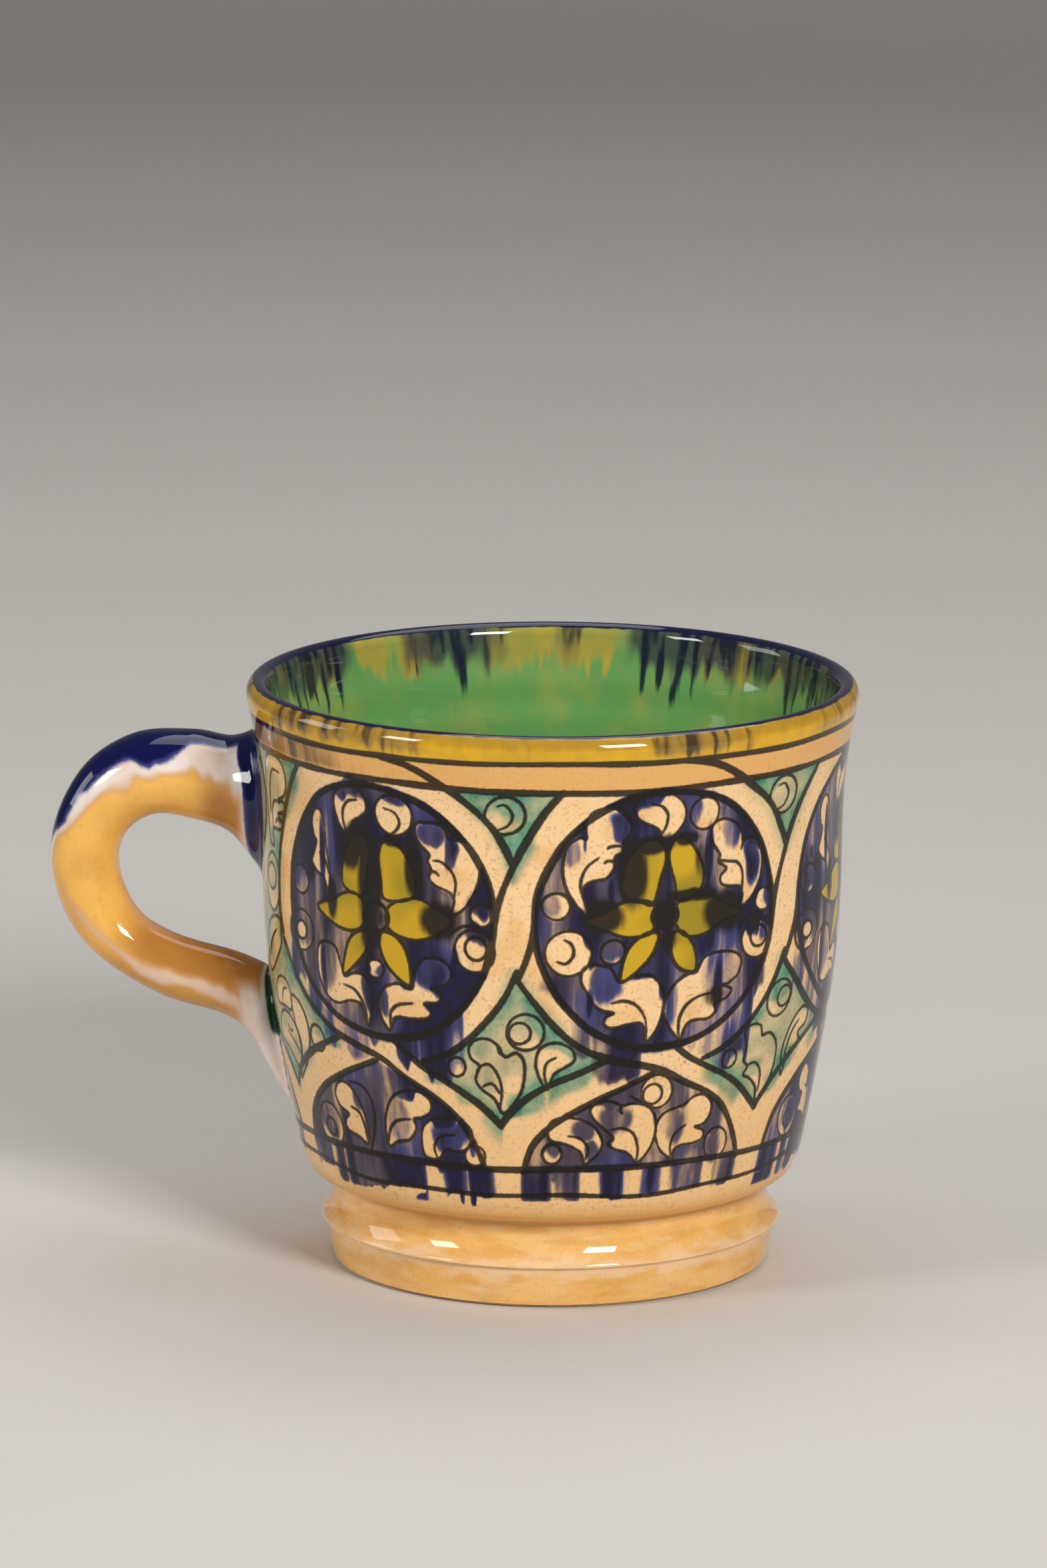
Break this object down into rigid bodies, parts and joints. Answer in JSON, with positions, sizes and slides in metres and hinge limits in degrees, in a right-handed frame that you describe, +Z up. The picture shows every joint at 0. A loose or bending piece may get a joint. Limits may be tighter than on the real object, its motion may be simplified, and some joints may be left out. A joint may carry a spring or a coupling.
{
  "type": "mug",
  "caption": "Glazed ceramic mug with a rounded flared lip, a looped side handle for one finger and a spreading hollow foot.",
  "frame": {"origin": "on the cup's axis, in the plane that the foot stands on", "axes": "+Z up along the cup's axis; the handle reaches along -X"},
  "size_m": [0.1238, 0.093, 0.09],
  "materials": {
    "fired_clay": "bare fired clay, matt",
    "lining_glaze": "glossy green lining glaze",
    "painted_glaze": "painted ornament under a clear glossy glaze",
    "lip_glaze": "glossy yellow and cobalt glaze",
    "amber_glaze": "glossy amber and cobalt glaze",
    "cream_glaze": "glossy mottled cream glaze"
  },
  "bodies": {
    "root": {"cup_body": "fired_clay", "foot_ring": "fired_clay", "handle": "fired_clay", "inside_glaze": "lining_glaze", "outside_glaze": "painted_glaze", "rim_glaze": "lip_glaze", "handle_glaze": "amber_glaze", "foot_glaze": "cream_glaze"}
  },
  "joints": []
}
